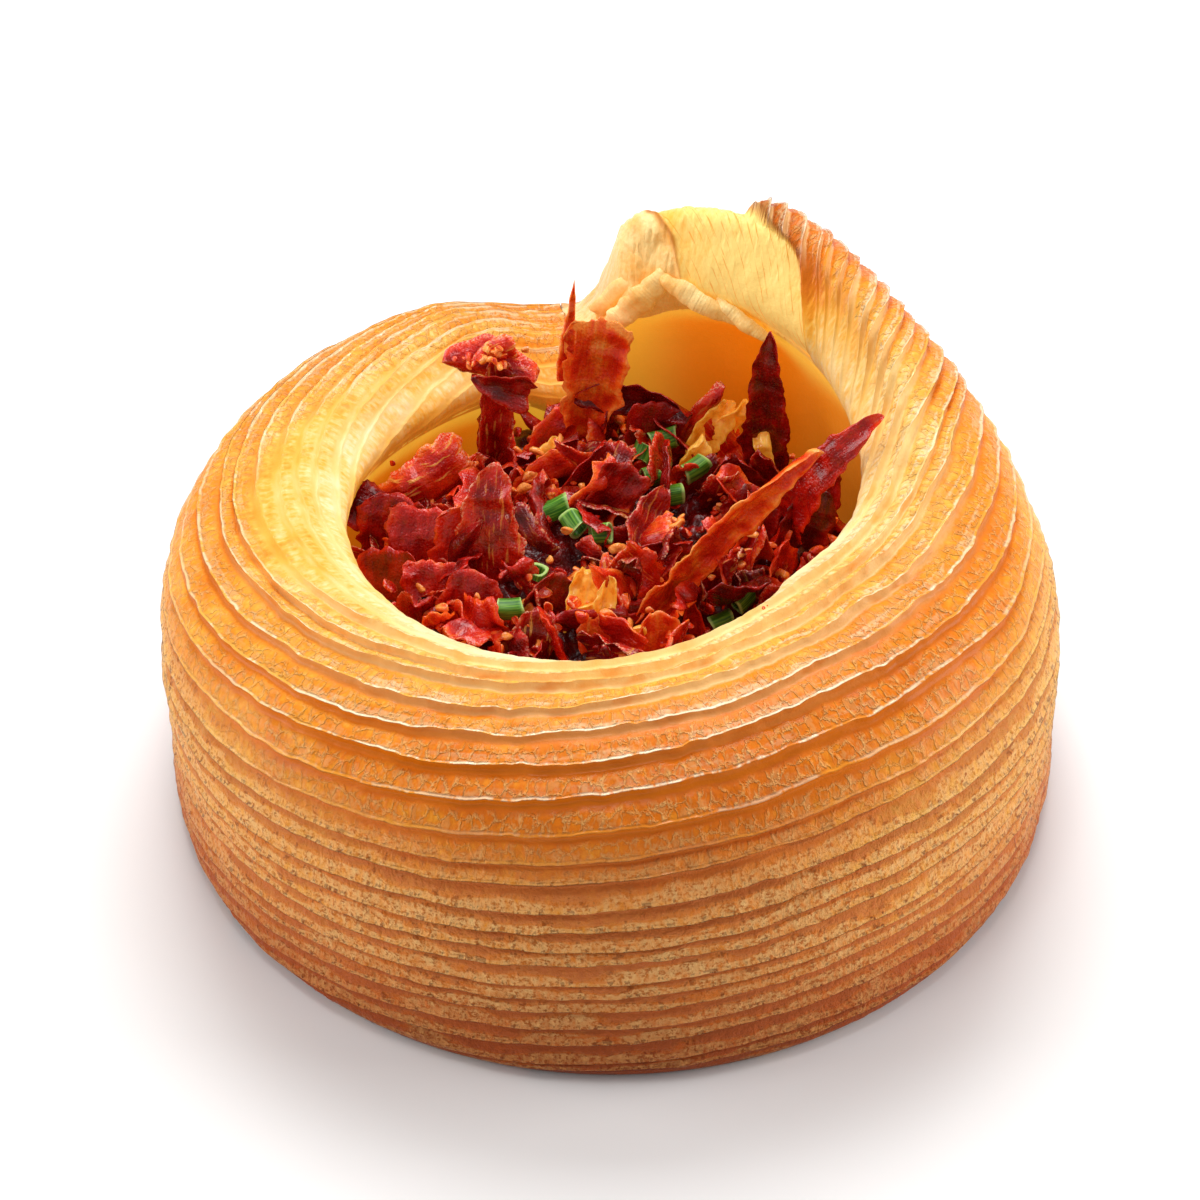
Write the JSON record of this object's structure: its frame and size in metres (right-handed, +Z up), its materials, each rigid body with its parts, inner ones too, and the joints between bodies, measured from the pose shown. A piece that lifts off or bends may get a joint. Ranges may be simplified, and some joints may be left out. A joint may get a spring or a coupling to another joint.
{
  "type": "croissant roll",
  "caption": "Round croissant roll of coiled laminated dough with its end twisted up at the back, its hollow heaped with crisp ham, fried onion and chives.",
  "frame": {"origin": "centre of the flat base", "axes": "+Z up, -Y towards the front of the roll, +X to its right as seen from the front, with the raised tail at the back right"},
  "size_m": [0.1002, 0.1003, 0.0593],
  "materials": {
    "pastry": "golden brown baked dough with a thin egg glaze on its ridges",
    "filling": "dark red crisp ham with a greasy shine"
  },
  "bodies": {
    "root": {"pastry": "pastry", "filling": "filling"}
  },
  "joints": []
}
